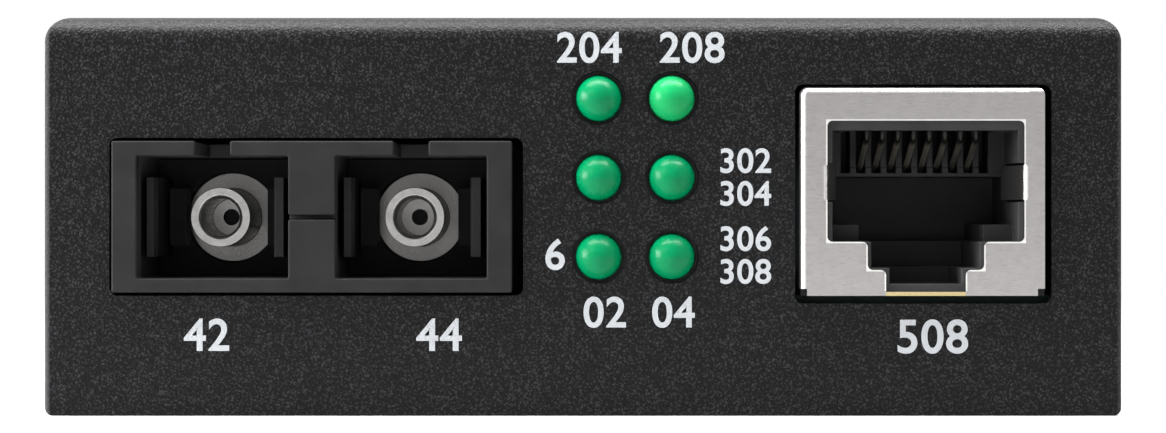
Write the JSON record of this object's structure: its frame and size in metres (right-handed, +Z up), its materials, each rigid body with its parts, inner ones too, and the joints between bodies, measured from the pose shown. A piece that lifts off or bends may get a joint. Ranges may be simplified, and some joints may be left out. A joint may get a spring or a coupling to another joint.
{
  "type": "fibre media converter",
  "caption": "Small steel-cased network converter with a duplex optical port, indicator lamps and a shielded network jack on the front, and a DC inlet at the rear.",
  "frame": {"origin": "middle of the underside of the enclosure", "axes": "+X to the right seen from the front, +Y from the front panel to the rear, +Z up"},
  "size_m": [0.069, 0.0954, 0.0256],
  "materials": {
    "black_coat": "wrinkled black powder coat",
    "black_screw": "blackened",
    "plated_steel": "bright zinc plate",
    "board": "green solder mask",
    "black_moulding": "fine matt moulding",
    "barrel_metal": "turned, satin",
    "stub": "polished ceramic",
    "shield_metal": "nickel plate, finely brushed",
    "contact_metal": "thin gold plate",
    "lamp_green": "diffused green resin",
    "chip_body": "moulded epoxy",
    "chip_tan": "fired",
    "can_sleeve": "shrunk sleeve"
  },
  "bodies": {
    "root": {"base_plate": "black_coat", "board_screws": "plated_steel", "board_standoffs": "plated_steel", "chip_capacitors": "chip_tan", "chip_resistors": "chip_body", "circuit_board": "board", "clock_crystal": "shield_metal", "converter_chip": "chip_body", "cover_screws": "black_screw", "inlet_body": "black_moulding", "inlet_pin": "contact_metal", "inlet_spring": "contact_metal", "input_capacitor": "can_sleeve", "isolation_transformer": "chip_body", "jack_contact_1": "contact_metal", "jack_contact_2": "contact_metal", "jack_contact_3": "contact_metal", "jack_contact_4": "contact_metal", "jack_contact_5": "contact_metal", "jack_contact_6": "contact_metal", "jack_contact_7": "contact_metal", "jack_contact_8": "contact_metal", "jack_insert": "black_moulding", "jack_shield": "shield_metal", "lamp_1": "lamp_green", "lamp_2": "lamp_green", "lamp_3": "lamp_green", "lamp_4": "lamp_green", "lamp_5": "lamp_green", "lamp_6": "lamp_green", "lamp_holder": "black_moulding", "lamp_leads": "plated_steel", "left_fibre_stub": "stub", "left_latch_clip": "black_moulding", "left_optical_barrel": "barrel_metal", "output_capacitor": "can_sleeve", "power_diode": "chip_body", "power_inductor": "chip_body", "right_fibre_stub": "stub", "right_latch_clip": "black_moulding", "right_optical_barrel": "barrel_metal", "settings_memory": "chip_body", "transceiver_board": "board", "transceiver_cover": "black_moulding", "transceiver_housing": "black_moulding", "transceiver_pins": "contact_metal", "upper_shell": "black_coat", "voltage_regulator": "chip_body"}
  },
  "joints": []
}
